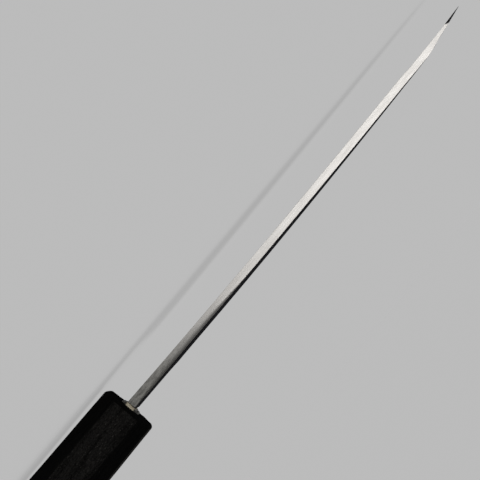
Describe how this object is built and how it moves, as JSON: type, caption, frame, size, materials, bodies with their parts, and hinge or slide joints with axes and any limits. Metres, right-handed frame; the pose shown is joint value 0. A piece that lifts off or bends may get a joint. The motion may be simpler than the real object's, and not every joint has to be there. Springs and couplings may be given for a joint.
{
  "type": "boning knife",
  "caption": "Japanese boning knife: single-bevel laminated blade with a tall heel and acute tip, hidden tang, and an octagonal charred wood handle sealed at its mouth.",
  "frame": {"origin": "on the surface that the knife lies on, under the middle of its overall length and height", "axes": "+X towards the tip, +Y towards the spine, +Z out of the bevelled right-hand face, which is up as the knife lies on its flat side"},
  "size_m": [0.301, 0.045, 0.0229],
  "materials": {
    "hard_steel": "satin ground, brushed along the blade",
    "soft_iron": "black forge scale on the face, satin ground on the spine and bevel",
    "charred_wood": "charred and brushed, open grain, matt black",
    "adhesive": "cured resin",
    "seal": "cream filler, smoothed by finger"
  },
  "bodies": {
    "root": {"blade_hard_steel": "hard_steel", "blade_soft_iron": "soft_iron", "handle_body": "charred_wood", "tang_adhesive": "adhesive", "mouth_seal": "seal"}
  },
  "joints": []
}
